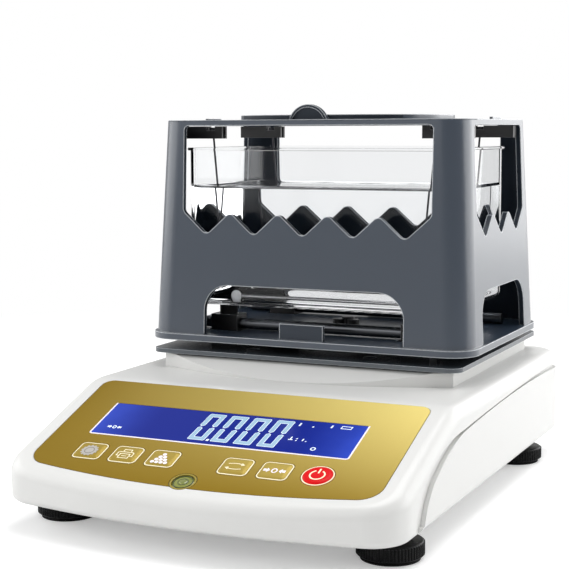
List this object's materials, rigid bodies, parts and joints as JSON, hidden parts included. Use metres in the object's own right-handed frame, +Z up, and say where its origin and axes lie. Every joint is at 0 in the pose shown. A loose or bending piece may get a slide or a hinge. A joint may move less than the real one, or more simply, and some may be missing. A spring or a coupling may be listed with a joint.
{
  "type": "electronic gold tester",
  "caption": "Bench densimeter: a precision balance with a sloped key panel and display, a clear water tank and a hanging weighing frame over it.",
  "frame": {"origin": "on the table under the middle of the base, at the underside of the feet", "axes": "+X to the right of the keys, +Y from the keys to the back, +Z up"},
  "size_m": [0.203, 0.293, 0.2028],
  "materials": {
    "white_shell": "smooth satin moulding",
    "gold_film": "satin metallic gold film",
    "red_key": "satin",
    "display_glass": "clear over a blue display",
    "display_blue": "lit blue",
    "board_green": "solder mask",
    "black_plastic": "fine matte",
    "vial_green": "clear green liquid",
    "slate_plastic": "satin moulding",
    "slate_plate": "satin paint",
    "steel": "brushed",
    "alloy": "machined",
    "brass_nut": "turned",
    "rubber_black": "matte",
    "clear_acrylic": "clear polished",
    "battery_grey": "matte"
  },
  "bodies": {
    "base": {"top_cover": "white_shell", "bottom_cover": "white_shell", "panel_overlay": "gold_film", "lcd_window": "display_glass", "lcd_module": "display_blue", "display_board": "board_green", "display_screws": "steel", "key_switches": "black_plastic", "level_housing": "black_plastic", "level_vial": "vial_green", "main_board": "board_green", "board_chips": "black_plastic", "board_screws": "steel", "load_cell": "alloy", "load_cell_base": "alloy", "load_cell_screws": "steel", "battery_pack": "battery_grey", "power_socket": "black_plastic", "serial_port": "black_plastic", "housing_screws": "steel", "foot_nuts": "brass_nut", "tank_plate": "slate_plate", "plate_spacers": "slate_plate", "plate_screws": "steel", "stand_blocks": "black_plastic", "stand_pads": "rubber_black", "stand_rods": "steel"},
    "weigh": {"load_bracket": "alloy", "bracket_screws": "steel", "weighing_frame": "slate_plastic", "frame_knob": "black_plastic", "hanger_arms": "black_plastic"},
    "basket": {"basket": "steel", "basket_wires": "steel"},
    "tray": {"measuring_tray": "slate_plastic"},
    "tank": {"water_tank": "clear_acrylic"},
    "key_settings": {"key_settings": "gold_film"},
    "key_print": {"key_print": "gold_film"},
    "key_enter": {"key_enter": "gold_film"},
    "key_mode": {"key_mode": "gold_film"},
    "key_zero": {"key_zero": "gold_film"},
    "key_power": {"key_power": "red_key"},
    "foot_pad_front_left": {"foot_pad_front_left": "rubber_black"},
    "foot_wheel_front_left": {"foot_wheel_front_left": "black_plastic"},
    "foot_pad_front_right": {"foot_pad_front_right": "rubber_black"},
    "foot_wheel_front_right": {"foot_wheel_front_right": "black_plastic"},
    "foot_pad_back_left": {"foot_pad_back_left": "rubber_black"},
    "foot_wheel_back_left": {"foot_wheel_back_left": "black_plastic"},
    "foot_pad_back_right": {"foot_pad_back_right": "rubber_black"},
    "foot_wheel_back_right": {"foot_wheel_back_right": "black_plastic"}
  },
  "joints": [
    {"name": "weigh_travel", "type": "slide", "parent": "base", "child": "weigh", "axis": [0, 0, 1], "range_m": [-0.0005, 0], "stiffness_N_per_m": 20000, "springref_m": 0.0005, "deforming": ["load_cell"]},
    {"name": "basket_lift", "type": "slide", "parent": "weigh", "child": "basket", "axis": [0, 0, 1], "range_m": [0, 0.05]},
    {"name": "tray_lift", "type": "slide", "parent": "weigh", "child": "tray", "axis": [0, 0, 1], "range_m": [0, 0.06]},
    {"name": "tank_lift", "type": "slide", "parent": "base", "child": "tank", "axis": [0, 0, 1], "range_m": [0, 0.004]},
    {"name": "key_settings_press", "type": "slide", "parent": "base", "child": "key_settings", "axis": [0, 0.3437, -0.9391], "range_m": [0, 0.0004], "stiffness_N_per_m": 600, "springref_m": -0.0006},
    {"name": "key_print_press", "type": "slide", "parent": "base", "child": "key_print", "axis": [0, 0.3437, -0.9391], "range_m": [0, 0.0004], "stiffness_N_per_m": 600, "springref_m": -0.0006},
    {"name": "key_enter_press", "type": "slide", "parent": "base", "child": "key_enter", "axis": [0, 0.3437, -0.9391], "range_m": [0, 0.0004], "stiffness_N_per_m": 600, "springref_m": -0.0006},
    {"name": "key_mode_press", "type": "slide", "parent": "base", "child": "key_mode", "axis": [0, 0.3437, -0.9391], "range_m": [0, 0.0004], "stiffness_N_per_m": 600, "springref_m": -0.0006},
    {"name": "key_zero_press", "type": "slide", "parent": "base", "child": "key_zero", "axis": [0, 0.3437, -0.9391], "range_m": [0, 0.0004], "stiffness_N_per_m": 600, "springref_m": -0.0006},
    {"name": "key_power_press", "type": "slide", "parent": "base", "child": "key_power", "axis": [0, 0.3437, -0.9391], "range_m": [0, 0.0004], "stiffness_N_per_m": 600, "springref_m": -0.0006},
    {"name": "foot_lower_front_left", "type": "slide", "parent": "base", "child": "foot_pad_front_left", "axis": [0, 0, 1], "range_m": [-0.006, 0]},
    {"name": "foot_turn_front_left", "type": "hinge", "parent": "foot_pad_front_left", "child": "foot_wheel_front_left", "pos_m": [-0.085, -0.101, 0.004], "axis": [0, 0, 1], "range_deg": [0, 1720]},
    {"name": "foot_lower_front_right", "type": "slide", "parent": "base", "child": "foot_pad_front_right", "axis": [0, 0, 1], "range_m": [-0.006, 0]},
    {"name": "foot_turn_front_right", "type": "hinge", "parent": "foot_pad_front_right", "child": "foot_wheel_front_right", "pos_m": [0.085, -0.101, 0.004], "axis": [0, 0, 1], "range_deg": [0, 1720]},
    {"name": "foot_lower_back_left", "type": "slide", "parent": "base", "child": "foot_pad_back_left", "axis": [0, 0, 1], "range_m": [-0.006, 0]},
    {"name": "foot_turn_back_left", "type": "hinge", "parent": "foot_pad_back_left", "child": "foot_wheel_back_left", "pos_m": [-0.085, 0.101, 0.004], "axis": [0, 0, 1], "range_deg": [0, 1720]},
    {"name": "foot_lower_back_right", "type": "slide", "parent": "base", "child": "foot_pad_back_right", "axis": [0, 0, 1], "range_m": [-0.006, 0]},
    {"name": "foot_turn_back_right", "type": "hinge", "parent": "foot_pad_back_right", "child": "foot_wheel_back_right", "pos_m": [0.085, 0.101, 0.004], "axis": [0, 0, 1], "range_deg": [0, 1720]}
  ],
  "couplings": [
    {"joint": "foot_lower_front_left", "follows": "foot_turn_front_left", "m_per_rad": -0.00019894},
    {"joint": "foot_lower_front_right", "follows": "foot_turn_front_right", "m_per_rad": -0.00019894},
    {"joint": "foot_lower_back_left", "follows": "foot_turn_back_left", "m_per_rad": -0.00019894},
    {"joint": "foot_lower_back_right", "follows": "foot_turn_back_right", "m_per_rad": -0.00019894}
  ]
}
